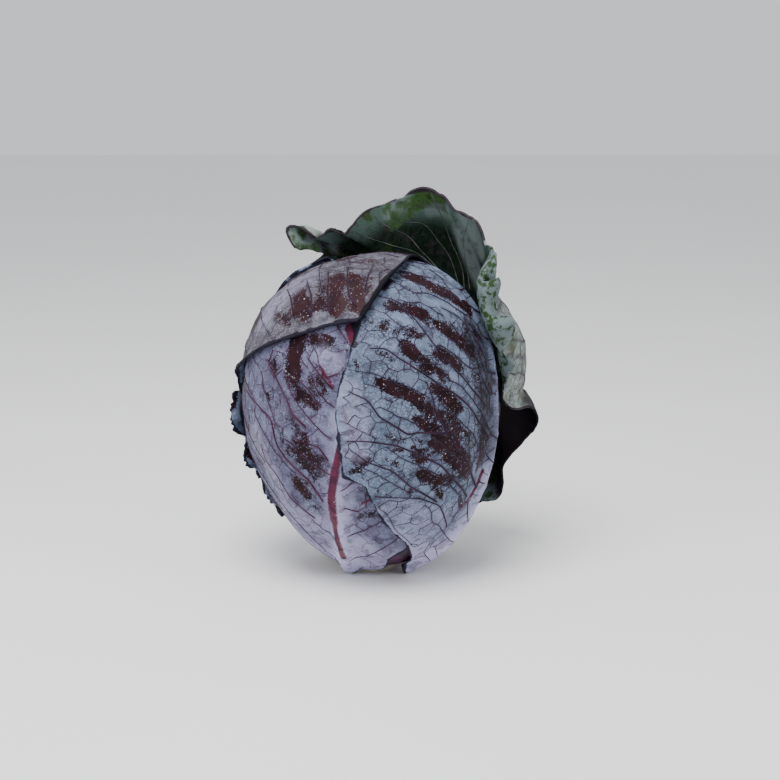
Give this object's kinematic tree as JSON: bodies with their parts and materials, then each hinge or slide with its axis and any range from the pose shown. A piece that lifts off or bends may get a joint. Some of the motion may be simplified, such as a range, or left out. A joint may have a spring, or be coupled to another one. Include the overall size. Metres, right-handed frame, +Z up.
{
  "type": "red cabbage head",
  "caption": "Red cabbage head on its cut stem: a tight heart, close waxy purple leaves and one loose green-blue outer leaf.",
  "frame": {"origin": "centre of the cut stem's flat face, on the surface that the head stands on", "axes": "+Z up through the head to its top, -Y towards the front in the picture, +X to the picture's right, where the outer leaf bellies out"},
  "size_m": [0.1881, 0.1642, 0.2227],
  "materials": {
    "stem": "pale, dry cut pith",
    "heart": "dark maroon, satin",
    "head_leaf": "waxy lilac-blue bloom, rubbed to maroon in patches",
    "loose_leaf": "dark green-blue, with a pale waxy bloom outside"
  },
  "bodies": {
    "root": {"stem": "stem", "heart": "heart", "leaf_front_left": "head_leaf", "leaf_front_right": "head_leaf", "leaf_top_left": "head_leaf", "leaf_back_left": "loose_leaf", "leaf_wrapper": "loose_leaf"}
  },
  "joints": []
}
